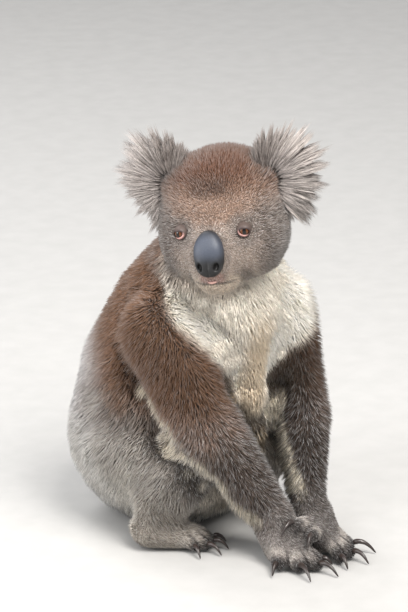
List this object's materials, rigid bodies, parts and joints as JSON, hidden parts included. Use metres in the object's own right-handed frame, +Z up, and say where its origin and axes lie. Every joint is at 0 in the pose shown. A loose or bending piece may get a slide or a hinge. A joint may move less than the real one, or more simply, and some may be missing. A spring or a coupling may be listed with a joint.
{
  "type": "koala",
  "caption": "Life-size koala sitting on its rump, leaning on both hands, head turned to its right, with long-haired ears and a white bib.",
  "frame": {"origin": "on the floor, under the middle of the whole animal's box", "axes": "+Z up, the animal's trunk and feet face -Y, its left side is +X; the head is turned to its right, towards -X"},
  "size_m": [0.2574, 0.3996, 0.5057],
  "materials": {
    "coat_grey": "soft matt fur, grey-brown with pale tips",
    "coat_brown": "soft matt fur, warm brown",
    "coat_white": "soft matt fur, cream white",
    "nose_leather": "fine-grained, satin",
    "eye_gloss": "wet gloss",
    "claw_horn": "polished horn"
  },
  "bodies": {
    "root": {"abdomen": "coat_grey", "chest": "coat_brown", "claw_left_1": "claw_horn", "claw_left_2": "claw_horn", "claw_left_3": "claw_horn", "claw_left_4": "claw_horn", "claw_left_5": "claw_horn", "claw_right_1": "claw_horn", "claw_right_2": "claw_horn", "claw_right_3": "claw_horn", "claw_right_4": "claw_horn", "claw_right_5": "claw_horn", "ear_left": "coat_grey", "ear_right": "coat_grey", "eye_left": "eye_gloss", "eye_right": "eye_gloss", "foot_left": "coat_grey", "foot_right": "coat_grey", "forearm_left": "coat_grey", "forearm_right": "coat_grey", "hand_left": "coat_grey", "hand_right": "coat_grey", "head": "coat_brown", "lower_jaw": "coat_white", "muzzle": "coat_grey", "neck": "coat_white", "nose_pad": "nose_leather", "rump": "coat_grey", "shank_left": "coat_grey", "shank_right": "coat_grey", "thigh_left": "coat_grey", "thigh_right": "coat_grey", "toe_claw_left_2": "claw_horn", "toe_claw_left_3": "claw_horn", "toe_claw_left_4": "claw_horn", "toe_claw_left_5": "claw_horn", "toe_claw_right_2": "claw_horn", "toe_claw_right_3": "claw_horn", "toe_claw_right_4": "claw_horn", "toe_claw_right_5": "claw_horn", "upper_arm_left": "coat_grey", "upper_arm_right": "coat_grey"}
  },
  "joints": []
}
